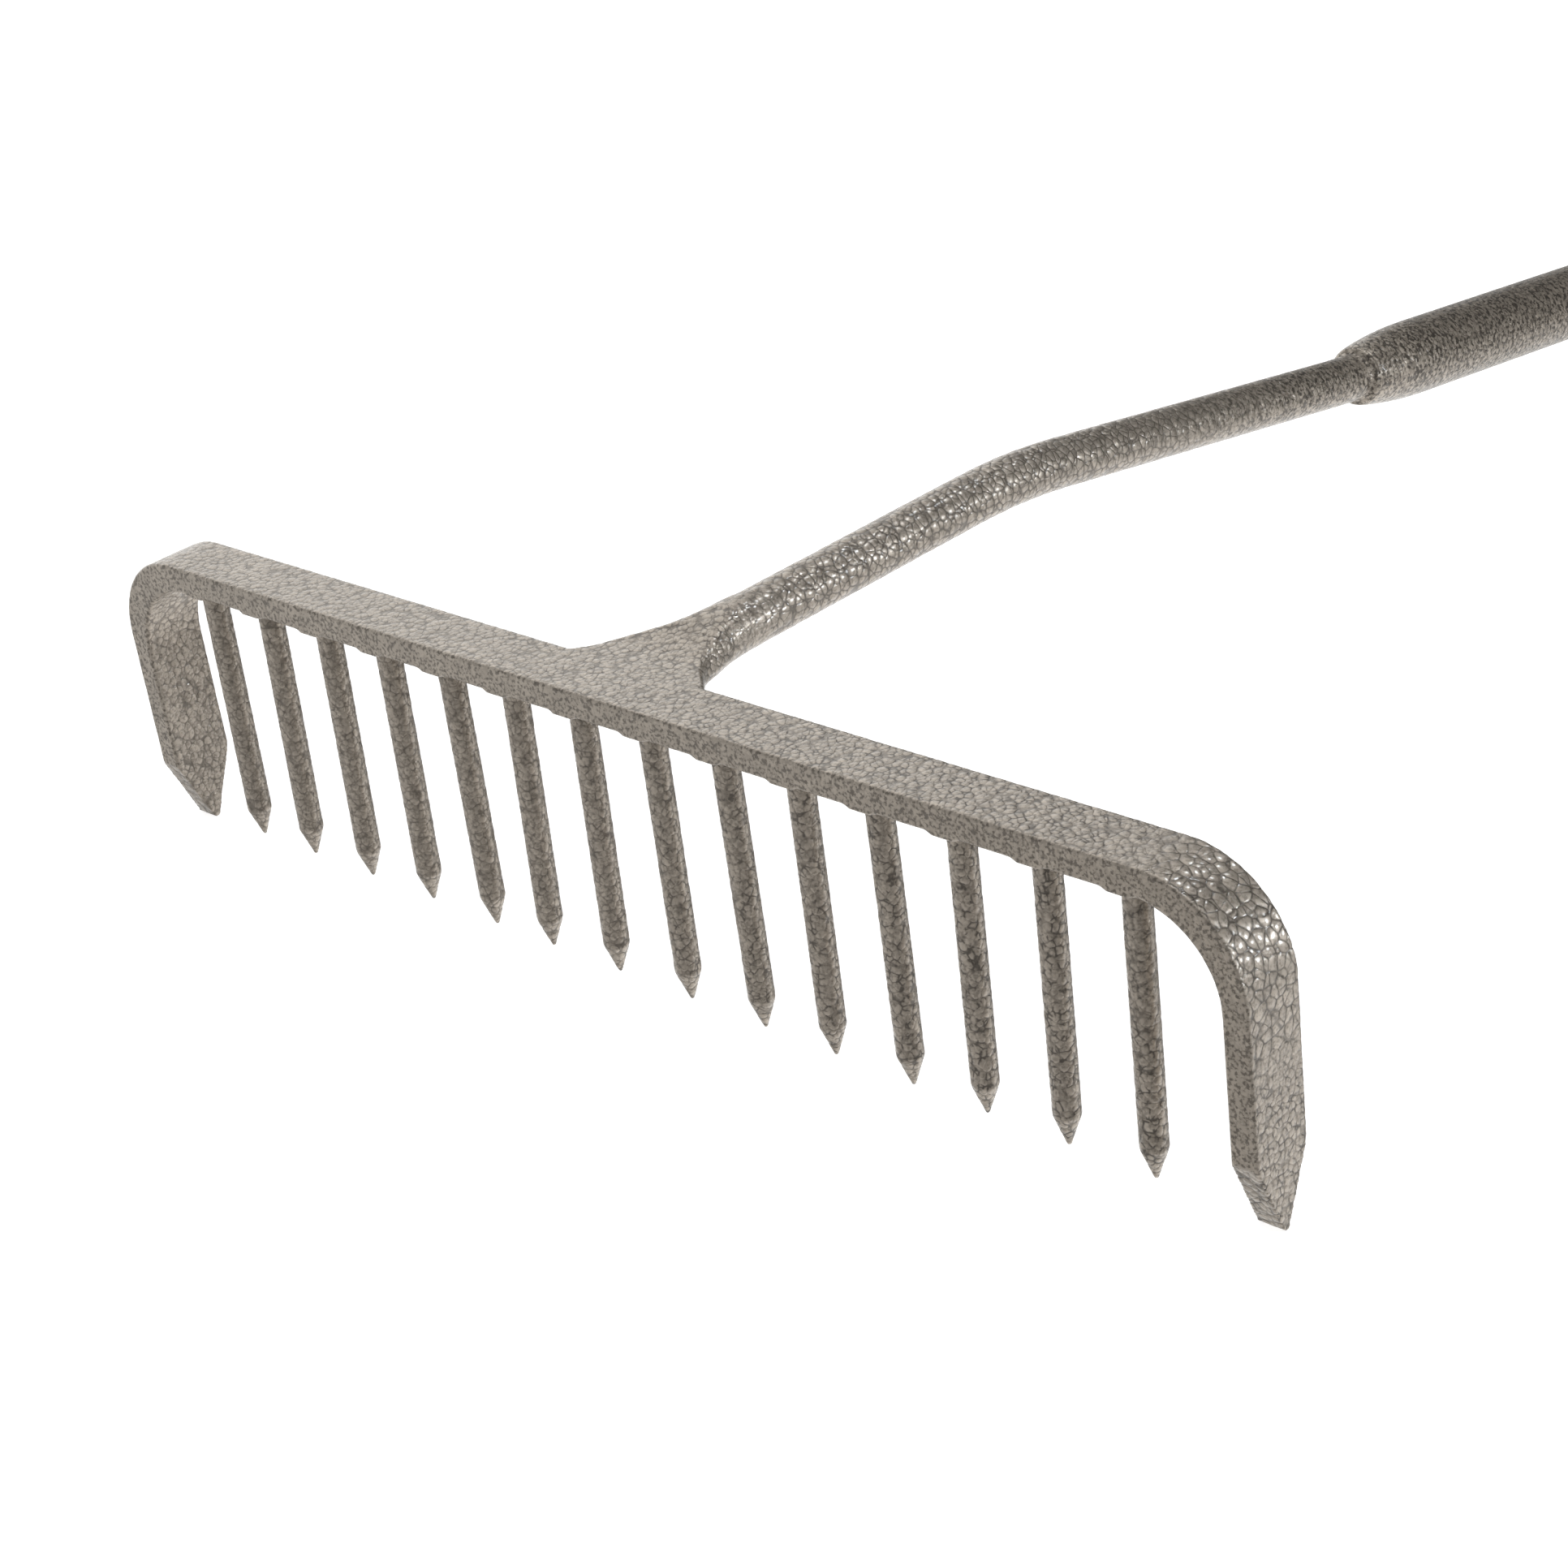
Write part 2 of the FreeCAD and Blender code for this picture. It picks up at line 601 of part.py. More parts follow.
def main():
    here = FreeCAD.Placement()
    mouth_y, mouth_z = socket_mouth()
    along_socket = FreeCAD.Placement(
        FreeCAD.Vector(0, mouth_y, mouth_z),
        FreeCAD.Rotation(FreeCAD.Vector(1, 0, 0), -value("dims.socket_slope")),
    )
    at_rivet = along_socket.multiply(FreeCAD.Placement(
        FreeCAD.Vector(0, value("dims.socket_length - dims.rivet_setback"), 0), FreeCAD.Rotation()))
    pieces = [(make_head_bar(), here)]
    pieces += [(make_tine(i), place) for i, place in enumerate(tine_places(), 1)]
    pieces += [
        (make_neck(), here),
        (make_socket(), along_socket),
        (make_weld_bead(), along_socket),
        (make_handle(), along_socket),
        (make_rivet(), at_rivet),
    ]
    turn, shift, box = lay_on_ground(pieces)
    check_document(pieces)
    os.makedirs("parts", exist_ok=True)
    for piece, _ in pieces:
        piece.Shape.exportStep(f"parts/{piece.Label}.step")
    print("pieces", len(pieces))
    print("head turned about X by", round(math.degrees(turn.Rotation.Angle), 4), "degrees")
    print("shift", [round(c, 3) for c in shift])
    print("size", [round(s, 2) for s in (box.XLength, box.YLength, box.ZLength)])


main()
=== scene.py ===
import json
import math

import bmesh
import bpy
import numpy as np
from mathutils import Matrix, Vector


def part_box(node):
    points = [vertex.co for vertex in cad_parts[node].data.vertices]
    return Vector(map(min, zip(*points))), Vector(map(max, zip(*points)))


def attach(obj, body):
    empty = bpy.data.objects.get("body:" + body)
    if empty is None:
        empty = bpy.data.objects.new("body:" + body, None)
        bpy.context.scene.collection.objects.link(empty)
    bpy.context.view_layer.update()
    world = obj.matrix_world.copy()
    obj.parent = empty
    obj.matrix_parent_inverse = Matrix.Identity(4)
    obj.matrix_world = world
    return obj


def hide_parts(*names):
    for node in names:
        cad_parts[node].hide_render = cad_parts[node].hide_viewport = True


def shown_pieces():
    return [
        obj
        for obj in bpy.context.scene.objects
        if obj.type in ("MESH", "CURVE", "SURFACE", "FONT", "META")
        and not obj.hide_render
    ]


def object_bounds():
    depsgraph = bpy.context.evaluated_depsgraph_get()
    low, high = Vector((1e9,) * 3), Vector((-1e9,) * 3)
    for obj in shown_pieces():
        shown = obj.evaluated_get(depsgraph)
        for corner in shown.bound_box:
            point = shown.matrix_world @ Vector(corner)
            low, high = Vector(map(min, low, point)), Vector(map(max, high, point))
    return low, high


# The looks of a level-head garden rake. The steel is rebuilt as fine meshes, in the CAD nodes' places,
# so that the hammered paint's cells are real relief. The same node functions make that relief and
# the paint's colour, so the dark veins lie in the valleys. Lengths are in metres.

MM = 0.001

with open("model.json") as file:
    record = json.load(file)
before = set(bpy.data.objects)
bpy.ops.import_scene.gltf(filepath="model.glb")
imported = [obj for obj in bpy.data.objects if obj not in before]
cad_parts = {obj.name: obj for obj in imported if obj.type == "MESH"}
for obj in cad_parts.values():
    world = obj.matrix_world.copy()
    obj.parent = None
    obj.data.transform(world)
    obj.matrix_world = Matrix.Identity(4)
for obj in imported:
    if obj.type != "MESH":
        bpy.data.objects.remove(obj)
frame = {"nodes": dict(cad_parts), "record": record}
cad_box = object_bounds()

# Steel. These are the CAD model's own sizes.
BAR_THICKNESS = 8 * MM
BAR_DEPTH = 20.4 * MM
BAR_FACE_AHEAD = 8 * MM  # from the mount on the bar's top face forward to the bar's front face
TINE_RADIUS = 3.8 * MM
TINE_POINT = 9 * MM
TINE_TIP = 0.65 * MM
COLLAR_HEIGHT = 0.9 * MM
ROD_RADIUS = 7.8 * MM
SOCKET_RADIUS = 12.7 * MM
SOCKET_BORE = 11.2 * MM
SOCKET_LENGTH = 205 * MM
MOUTH_RADIUS = 10 * MM
NOSE_LENGTH = 34 * MM
GRIP_LENGTH = 26 * MM
FLARE_END = 62 * MM
BEAD_LENGTH = 2.6 * MM
RIVET_SETBACK = 22 * MM
RIVET_SHANK = 2.5 * MM
RIVET_HEAD = 4.5 * MM
RIVET_RISE = 2.2 * MM

# Details of the steel's skin.
TINE_START = 1.5 * MM  # from the CAD tine's top down to the painted tine's top, inside the bar
SEAT_MARGIN = 0.3 * MM
SEAT_TOP = 2 * MM  # below the bar's top face
NECK_FILLERS = (-12 * MM, 0, 10 * MM)  # where they are along the bar
NECK_FILLER_RADIUS = 5 * MM
NECK_FILLER_MARGIN = 1.5 * MM  # from the bar's top and bottom faces
SEAM_GAP = 0.4 * MM  # from the bar's back edge to the cut between bar and neck
SOCKET_LIP = 0.8 * MM
SOCKET_EDGE = 0.5 * MM
BEAD_INSET = 0.3 * MM  # of the bead in the neck, and of its outside in the socket's mouth
BEAD_OVERLAP = 0.5 * MM  # how far the bead goes over the socket's mouth
BEAD_BLEND = (0.2, 0.85)  # where its outside rises from neck to nose, as shares of its length
BEAD_CROWN = 0.25 * MM
BEAD_RIPPLE = 0.09 * MM
RIVET_SINK = 1.3 * MM  # how far the heads go into the tube's round side

# Ash handle.
SHAFT_RADIUS = 14 * MM
HANDLE_INSERT = 120 * MM
HANDLE_LENGTH = 1372 * MM
SHOULDER_LENGTH = 70 * MM
TENON_LEAD = 6 * MM
TENON_TAPER = 2 * MM
TENON_CLEARANCE = 0.03 * MM
SHOULDER_EDGE = 0.4 * MM
BUTT_ROUND = 8 * MM
RING_WIDTH = 2.6 * MM
RING_SLOPE = 0.006  # how fast the rings run out along the handle
RING_WANDER = (9 * MM, 5 * MM)  # the size of the rings' waves, and how far they reach
PITH_OFFSET = 24 * MM  # from the handle's axis to the tree's middle
EARLY_WOOD = (0.1, 0.38)  # where the pores fade out, as shares of a ring's width
LATE_WOOD = (0.15, 0.6)  # where the wood becomes lighter
PORE_SIZE = 0.42 * MM
PORE_EDGE = (0.18, 0.34)  # from a pore's middle, as shares of its size
FIBRE_SIZE = 0.5 * MM
GRAIN_SHRINK = 0.03  # of the grain's coordinate along the handle, which draws it out
GRAIN_RELIEF = 0.06 * MM
WOOD_BUMP = 0.05 * MM
EARLY_COLOUR = (0.46, 0.285, 0.140)
LATE_COLOUR = (0.66, 0.465, 0.270)
FIBRE_COLOUR = (0.53, 0.345, 0.180)
PORE_COLOUR = (0.17, 0.085, 0.035)
DRIFT_COLOUR = (0.48, 0.300, 0.150)
DRIFT_SIZE = 120 * MM

# Zinc plating on the rivet.
SCRATCH_SIZE = 0.25 * MM
SCRATCH_SQUEEZE = (1, 0.08, 1)
SCRATCH_BUMP = 0.02 * MM
SPOT_SIZE = 1.1 * MM
ZINC_COLOUR = (0.58, 0.58, 0.57)
SPOT_COLOUR = (0.36, 0.35, 0.33)

# Fineness of the meshes.
STEEL_VOXEL = 0.60 * MM
LATHE_STEP = 0.62 * MM
SOCKET_STEP = LATHE_STEP * 1.35
HANDLE_STEP = 2.2 * MM

# Hammered paint: its cells and the veins between them.
SMALL_CELL = 2.1 * MM
NECK_CELL = 2.7 * MM
BEND_CELL = 3.2 * MM
CELL_RISE = 0.12  # a cell's height, as a share of its size
CELL_REACH = 0.75  # from a cell's middle to where its side ends, as a share of its size
GROOVE_WIDTH = 0.35 * MM
GROOVE_DEPTH = 0.35  # as a share of the cell's own height
VEIN_WIDTH = 0.38 * MM
VEIN_CORE = 0.2  # of the vein's width, where it is darkest
WARP_SIZE = 4.5 * MM
WARP_REACH = 1.6 * MM
MESH_SHARE = 0.45  # of the paint's relief that the mesh has; bump adds the rest
FINE_SIZE = 0.7 * MM
FINE_RELIEF = 0.012 * MM

# Hammered paint: its dark marks and its colours. Noise has values around 0.5, and pairs of them say
# where a mark begins and where it is full.
VEIN_GAP_SIZE = 2.2 * MM
VEIN_GAPS = (0.46, 0.58)
DASH_SIZE = 1.35 * MM
DASHES = (0.50, 0.58)
SPECK_SIZE = 1.0 * MM
SPECKS = (0.44, 0.64)
SPECK_STRENGTH = 0.8
SPECKS_BEHIND = 0.6  # of their strength on the bar's front
PATCH_SIZE = 9 * MM
DULL_CELL_COLOUR = (0.47, 0.409, 0.343)
BRIGHT_CELL_COLOUR = (0.56, 0.490, 0.412)
PATCH_COLOUR = (0.40, 0.348, 0.292)
SPECK_COLOUR = (0.12, 0.102, 0.083)
# Painted shade: the colour that the paint darkens towards in the hollows of its cells.
HOLLOW_PAINTED_SHADE_COLOUR = (0.17, 0.145, 0.118)
VEIN_COLOUR = (0.045, 0.037, 0.029)
VEIN_STRENGTH = 0.7
TOP_ROUGHNESS = 0.42
HOLLOW_ROUGHNESS = 0.6

# Where the paint changes. Pairs say where a change starts and where it ends.
NECK_BEGINS = (0.05, 0.15)  # along the neck, as shares of its length
NECK_ENDS = (0.5, 0.85)
BEYOND_NECK = 0.25  # how much of the neck's pattern is left there
BEND_INSIDE = (50 * MM, 15 * MM)  # in from the bar's right end
BEND_BELOW = (62 * MM, 35 * MM)  # down from the bar's top
FRONT_LAYER = (0.2 * MM, 1.2 * MM)  # back from the bar's front face
FRONT_RELIEF = 0.3  # of the relief, on the faces at the bar's front, where the paint lies flatter
VEINS_FADE = (-0.5, 0.7)  # along the bar, as shares of half its width
VEINS_LEFT = 0.5  # how strong the veins are at the bar's left
VEINS_NECK = 0.9  # how strong they are at least on the neck, and on the bend
VEINS_BEND = 0.6

# The camera looks at a point of the bar's top plane, to the right of its middle.
AIM_RIGHT = 79.1 * MM
AIM_BACK = -10 * MM
CAMERA_DISTANCE = 813.6 * MM
CAMERA_AZIMUTH = 44.68
CAMERA_ELEVATION = 23.50
CAMERA_ROLL = 3.78
CAMERA_LENS = 75.75

# Softboxes. Each has its direction from the head, in the head's frame, then its distance, its width and
# height, its radiance straight ahead, and the whole angle that it lights, in degrees.
SOFTBOXES = {
    "key": ((0.09, 0.62, 0.78), 1.5, (0.18, 0.18), 24, 36),
    "side": ((0.757, 0.619, 0.13), 1.5, (0.2, 0.2), 32, 34),
    "kicker": ((0.97, -0.05, 0.08), 1.3, (0.12, 0.2), 33, 180),
    "lip": ((0.807, 0.416, 0.416), 1.42, (0.1, 0.1), 20, 180),
    "fill": ((-0.75, -0.6, 0.35), 1.0, (0.8, 0.8), 3.5, 180),
}
SOFTBOX_COLOUR = (0.93, 1.0, 1.07)

# Dark flats around the rake, which its paint reflects. Each has its direction from the head, in the
# head's frame, the cosines from it where the flat begins and where it is full, and its brightness there.
CAMERA_WALL = ((0.87, -0.5, 0), 0.3, 0.75, 0.2)
DARK_FLATS = {
    "straight behind": ((0, 1, 0), 0.72, 0.82, 0.3),
    "high behind": ((0.2, 0.9, 0.35), 0.60, 0.86, 0.2),
    "overhead in front": ((-0.3, -0.65, 0.7), 0.6, 0.85, 0.25),
    "low in front": ((-0.6, -0.65, -0.45), 0.3, 0.9, 0.42),
    "lowest in front": ((-0.45, -0.72, -0.53), 0.97, 1.0, 0.35),
    "low behind the right": ((0.77, 0.52, -0.37), 0.97, 1.0, 0.5),
}
WALL_BRIGHTNESS = 1.05
BACKDROP_BRIGHTNESS = 1.06
WALL_COLOUR = (1, 0.99, 0.97, 1)
FLOOR_GLOW = 0.82
FLOOR_REACH = 60
FLOOR_COLOURS = ((0.86, 0.86, 0.86), (0.88, 0.88, 0.88))
FLOOR_DRIFT_SIZE = 400 * MM


def mount(name):
    """A mount's point and axis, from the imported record."""
    found = next(m for m in frame["record"]["mounts"] if m["name"] == name)
    return Vector(found["pos_m"]), Vector(found["axis"]).normalized()


def head_matrix():
    """The head's own frame: X along the bar, Y towards the handle, Z up, zero on its top front edge."""
    point, up = mount("bar_top_face")
    right = Vector((1, 0, 0))
    back = up.cross(right)
    origin = point - BAR_FACE_AHEAD * back
    matrix = Matrix((right, back, up)).transposed().to_4x4()
    matrix.translation = origin
    return matrix


HEAD = head_matrix()
BACK = HEAD.to_3x3() @ Vector((0, 1, 0))
HANDLE_POINT, HANDLE_AXIS = mount("handle_grip")


def socket_start():
    """The middle of the socket's mouth, on the handle's axis."""
    along = [(v.co - HANDLE_POINT).dot(HANDLE_AXIS) for v in frame["nodes"]["socket"].data.vertices]
    return HANDLE_POINT + HANDLE_AXIS * min(along)


# ---------------------------------------------------------------- node trees


class Graph:
    """Adds nodes to a tree. Shader trees and geometry trees share the types that both use here."""

    def __init__(self, tree):
        self.tree = tree

    def feed(self, socket, value):
        """Link an input to another node's output, or set its value."""
        if isinstance(value, bpy.types.NodeSocket):
            self.tree.links.new(value, socket)
        else:
            socket.default_value = value

    def add(self, kind, inputs=None, **settings):
        """A node with its settings. inputs says by name or number what goes in."""
        node = self.tree.nodes.new(kind)
        for name, value in settings.items():
            setattr(node, name, value)
        for key, value in (inputs or {}).items():
            self.feed(node.inputs[key], value)
        return node

    def math(self, operation, a, b=0.0):
        return self.add("ShaderNodeMath", {0: a, 1: b}, operation=operation).outputs[0]

    def times(self, a, b):
        return self.math("MULTIPLY", a, b)

    def plus(self, a, b):
        return self.math("ADD", a, b)

    def vector(self, operation, a, b=(0, 0, 0)):
        return self.add("ShaderNodeVectorMath", {0: a, 1: b}, operation=operation).outputs["Vector"]

    def scaled(self, a, factor):
        node = self.add("ShaderNodeVectorMath", {0: a, "Scale": factor}, operation="SCALE")
        return node.outputs["Vector"]

    def dot(self, a, b):
        return self.add("ShaderNodeVectorMath", {0: a, 1: b}, operation="DOT_PRODUCT").outputs["Value"]

    def parts(self, a):
        """A vector's parts, by name: X, Y and Z."""
        return self.add("ShaderNodeSeparateXYZ", {0: a}).outputs

    def step(self, value, low, high, start=0.0, end=1.0):
        """A smooth step from start, at low, to end, at high."""
        node = self.add("ShaderNodeMapRange", {0: value, 1: low, 2: high, 3: start, 4: end})
        node.interpolation_type = "SMOOTHSTEP"
        return node.outputs[0]

    def mix(self, share, a, b):
        return self.add("ShaderNodeMix", {0: share, 2: a, 3: b}, data_type="FLOAT").outputs[0]

    def colours(self, share, a, b):
        """A mix of two colours, each given by its red, green and blue or by a node."""
        a, b = ((*c, 1) if isinstance(c, tuple) else c for c in (a, b))
        return self.add("ShaderNodeMix", {0: share, 6: a, 7: b}, data_type="RGBA").outputs[2]

    def noise(self, place, size, detail=2.0, output="Fac"):
        """Noise whose lumps are about this size."""
        inputs = {"Vector": place, "Scale": 1 / size, "Detail": detail}
        return self.add("ShaderNodeTexNoise", inputs).outputs[output]

    def cells(self, place, size, feature, output):
        """One output of a Voronoi pattern with cells of about this size."""
        inputs = {"Vector": place, "Scale": 1 / size}
        return self.add("ShaderNodeTexVoronoi", inputs, feature=feature).outputs[output]


def along_neck(graph, place, shares, start, end):
    """A smooth step between two places along the neck, given as shares of its length."""
    low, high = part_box("neck")
    places = (low.y + share * (high.y - low.y) for share in shares)
    return graph.step(graph.parts(place)["Y"], *places, start, end)


def neck_and_bend(graph, place):
    """Where the paint lies on the neck, and where on the bend at the bar's right end, from 0 to 1."""
    begins = along_neck(graph, place, NECK_BEGINS, 0.0, 1.0)
    ends = along_neck(graph, place, NECK_ENDS, 1.0, BEYOND_NECK)
    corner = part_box("head_bar")[1]
    parts = graph.parts(place)
    right = graph.step(parts["X"], *(corner.x - inside for inside in BEND_INSIDE))
    high = graph.step(parts["Z"], *(corner.z - below for below in BEND_BELOW))
    return graph.times(begins, ends), graph.times(right, high)


def cell_pattern(graph, place, size):
    """Cells of about one size: their depth in metres, 0 on a cell's top, how hollow they are from 0
    to 1, the veins between them, and a random value for each cell."""
    edge = graph.cells(place, size, "DISTANCE_TO_EDGE", "Distance")
    middle = graph.cells(place, size, "F1", "Distance")
    fall = graph.math("MINIMUM", graph.math("DIVIDE", middle, CELL_REACH), 1.0)
    slope = graph.math("POWER", fall, 2.0)
    groove = graph.step(edge, 0.0, GROOVE_WIDTH / size, GROOVE_DEPTH, 0.0)
    hollow = graph.times(graph.plus(slope, groove), 1 / (1 + GROOVE_DEPTH))
    vein = graph.step(edge, VEIN_CORE * VEIN_WIDTH / size, VEIN_WIDTH / size, 1.0, 0.0)
    value = graph.dot(graph.cells(place, size, "F1", "Color"), (0.5, 0.5, 0.0))
    return graph.times(hollow, -CELL_RISE * size), hollow, vein, value


def vein_strength(graph, place, neck, bend):
    """How much of the veins shows. They are broken, less so on the neck and the bend, and fade leftwards."""
    least = graph.math("MAXIMUM", graph.times(neck, VEINS_NECK), graph.times(bend, VEINS_BEND))
    broken = graph.step(graph.noise(place, VEIN_GAP_SIZE), *VEIN_GAPS)
    half_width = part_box("head_bar")[1].x
    ends = (share * half_width for share in VEINS_FADE)
    clearer = graph.step(graph.parts(place)["X"], *ends, VEINS_LEFT, 1.0)
    return graph.times(graph.math("MAXIMUM", least, broken), clearer)


def speckles(graph, place, calm):
    """Dark specks in the paint, fine ones on the head and short dashes on the far neck and the socket."""
    dashes = graph.step(graph.noise(place, DASH_SIZE), *DASHES)
    fine = graph.times(graph.step(graph.noise(place, SPECK_SIZE), *SPECKS), SPECK_STRENGTH)
    fine = graph.times(fine, graph.step(calm, FRONT_RELIEF, 1.0, 1.0, SPECKS_BEHIND))
    return graph.mix(along_neck(graph, place, NECK_ENDS, 0.0, 1.0), fine, dashes)


def hammered(graph, place):
    """The paint at a place: its depth in metres, how hollow it is from 0 to 1, its vein, its cell's
    random value and its dark specks."""
    shift = graph.vector("SUBTRACT", graph.noise(place, WARP_SIZE, 1.0, "Color"), (0.5, 0.5, 0.5))
    warped = graph.vector("ADD", place, graph.scaled(shift, WARP_REACH))
    neck, bend = neck_and_bend(graph, place)
    patterns = [cell_pattern(graph, warped, size) for size in (SMALL_CELL, NECK_CELL, BEND_CELL)]
    mixed = (graph.mix(bend, graph.mix(neck, a, b), c) for a, b, c in zip(*patterns))
    depth, hollow, vein, value = mixed
    from_edge = graph.vector("SUBTRACT", place, tuple(HEAD.translation))
    calm = graph.step(graph.dot(from_edge, tuple(BACK)), *FRONT_LAYER, FRONT_RELIEF, 1.0)
    depth = graph.times(depth, calm)
    hollow = graph.times(hollow, calm)
    vein = graph.times(vein, graph.times(calm, vein_strength(graph, place, neck, bend)))
    return depth, hollow, vein, value, speckles(graph, place, calm)


def relief_tree(name, rise_at):
    """A geometry tree that moves each point along its normal by what rise_at says there."""
    tree = bpy.data.node_groups.new(name, "GeometryNodeTree")
    for side in ("INPUT", "OUTPUT"):
        tree.interface.new_socket("Geometry", in_out=side, socket_type="NodeSocketGeometry")
    graph = Graph(tree)
    place = graph.add("GeometryNodeInputPosition").outputs[0]
    normal = graph.add("GeometryNodeInputNormal").outputs[0]
    source = graph.add("NodeGroupInput").outputs[0]
    offset = graph.scaled(normal, rise_at(graph, place))
    move = graph.add("GeometryNodeSetPosition", {"Geometry": source, "Offset": offset})
    graph.add("NodeGroupOutput", {0: move.outputs[0]})
    return tree


def paint_relief(graph, place):
    """The part of the paint's relief that the mesh has."""
    return graph.times(hammered(graph, place)[0], MESH_SHARE)


# ---------------------------------------------------------------- materials


def new_material(name, **constants):
    """A material with a Principled shader, its tree, and the place of a point in object space."""
    material = bpy.data.materials.new(name)
    material.use_nodes = True
    graph = Graph(material.node_tree)
    shader = material.node_tree.nodes["Principled BSDF"]
    for socket, value in constants.items():
        shader.inputs[socket.replace("_", " ")].default_value = value
    place = graph.add("ShaderNodeTexCoord").outputs["Object"]
    return material, graph, shader, place


def bump(graph, shader, height, distance):
    """Relief that is too fine for the mesh."""
    node = graph.add("ShaderNodeBump", {"Height": height, "Distance": distance, "Strength": 1.0})
    graph.feed(shader.inputs["Normal"], node.outputs[0])
    graph.feed(shader.inputs["Coat Normal"], node.outputs[0])


def hammered_paint():
    """Warm grey hammered paint: metal flakes under a clear, glossy surface, dark broken veins, and painted
    shade in the hollows of its cells.
    """
    constants = {"Metallic": 0.7, "IOR": 1.5, "Coat_Weight": 1.0, "Coat_Roughness": 0.08}
    material, graph, shader, place = new_material("hammered_paint", **constants)
    depth, hollow, vein, value, speckle = hammered(graph, place)
    patch = graph.noise(place, PATCH_SIZE, 3.0)
    colour = graph.colours(graph.step(value, 0.2, 0.8), DULL_CELL_COLOUR, BRIGHT_CELL_COLOUR)
    colour = graph.colours(graph.step(patch, 0.3, 0.7, 0.0, 0.3), colour, PATCH_COLOUR)
    colour = graph.colours(speckle, colour, SPECK_COLOUR)
    # Painted shade: the colour darkens in the cells' hollows, where shade would fall.
    colour = graph.colours(graph.step(hollow, 0.4, 0.9, 0.0, 0.5), colour, HOLLOW_PAINTED_SHADE_COLOUR)
    colour = graph.colours(graph.times(vein, VEIN_STRENGTH), colour, VEIN_COLOUR)
    graph.feed(shader.inputs["Base Color"], colour)
    roughness = graph.step(hollow, 0.3, 0.95, TOP_ROUGHNESS, HOLLOW_ROUGHNESS)
    graph.feed(shader.inputs["Roughness"], roughness)
    fine = graph.times(graph.noise(place, FINE_SIZE), FINE_RELIEF)
    bump(graph, shader, graph.plus(depth, fine), 1 - MESH_SHARE)
    return material


def grain_places(graph, place):
    """Coordinates along the handle and across it, and the place with its grain drawn out lengthwise."""
    across = Vector((1, 0, 0))
    up = across.cross(HANDLE_AXIS)
    offset = graph.vector("SUBTRACT", place, tuple(HANDLE_POINT))
    along = graph.dot(offset, tuple(HANDLE_AXIS))
    u = graph.dot(offset, tuple(across))
    w = graph.dot(offset, tuple(up))
    drawn_out = graph.add("ShaderNodeCombineXYZ", {0: u, 1: graph.times(along, GRAIN_SHRINK), 2: w})
    return along, u, w, drawn_out.outputs[0]


def ash_grain(graph, place):
    """Ash: the place in a growth ring, 0 to 1 from its porous start, its pores and its fibres."""
    along, u, w, drawn_out = grain_places(graph, place)
    wander = graph.times(graph.noise(drawn_out, RING_WANDER[0]), RING_WANDER[1])
    across = graph.math("POWER", graph.plus(u, PITH_OFFSET), 2.0)
    reach = graph.math("SQRT", graph.plus(across, graph.math("POWER", w, 2.0)))
    distance = graph.plus(graph.plus(reach, graph.times(along, RING_SLOPE)), wander)
    ring = graph.math("FRACT", graph.math("DIVIDE", distance, RING_WIDTH))
    pores = graph.step(graph.cells(drawn_out, PORE_SIZE, "F1", "Distance"), *PORE_EDGE, 1.0, 0.0)
    early = graph.step(ring, *EARLY_WOOD, 1.0, 0.0)
    fibres = graph.noise(drawn_out, FIBRE_SIZE, 3.0)
    return ring, graph.times(pores, early), fibres


def ash_relief(graph, place):
    """Height of the wood: pores are pits, and fibres are low ridges."""
    ring, pores, fibres = ash_grain(graph, place)
    height = graph.math("SUBTRACT", graph.mix(0.5, ring, fibres), graph.times(pores, 0.5))
    return graph.times(graph.math("SUBTRACT", height, 1.0), GRAIN_RELIEF)


def ash_wood():
    """Varnished ash: straw-coloured late wood, darker porous early wood, and a thin clear coat."""
    constants = {"Coat_Weight": 0.35, "Coat_Roughness": 0.22, "IOR": 1.48}
    material, graph, shader, place = new_material("ash_wood", **constants)
    ring, pores, fibres = ash_grain(graph, place)
    drift = graph.step(graph.noise(place, DRIFT_SIZE, 1.0), 0.3, 0.7, 0.0, 0.3)
    colour = graph.colours(graph.step(ring, *LATE_WOOD), EARLY_COLOUR, LATE_COLOUR)
    colour = graph.colours(graph.step(fibres, 0.35, 0.7, 0.0, 0.45), colour, FIBRE_COLOUR)
    colour = graph.colours(graph.times(pores, 0.75), colour, PORE_COLOUR)
    colour = graph.colours(drift, colour, DRIFT_COLOUR)
    graph.feed(shader.inputs["Base Color"], colour)
    graph.feed(shader.inputs["Roughness"], graph.mix(pores, 0.38, 0.7))
    bump(graph, shader, graph.math("SUBTRACT", fibres, pores), WOOD_BUMP)
    return material


def rivet_steel():
    """Zinc-plated steel with fine scratches and a few dull spots."""
    material, graph, shader, place = new_material("rivet_steel", Metallic=1.0)
    scratches = graph.noise(graph.vector("MULTIPLY", place, SCRATCH_SQUEEZE), SCRATCH_SIZE, 3.0)
    spots = graph.step(graph.noise(place, SPOT_SIZE, 3.0), 0.52, 0.68)
    graph.feed(shader.inputs["Base Color"], graph.colours(spots, ZINC_COLOUR, SPOT_COLOUR))
    polished = graph.step(scratches, 0.3, 0.7, 0.22, 0.4)
    graph.feed(shader.inputs["Roughness"], graph.mix(spots, polished, 0.6))
    bump(graph, shader, scratches, SCRATCH_BUMP)
    return material


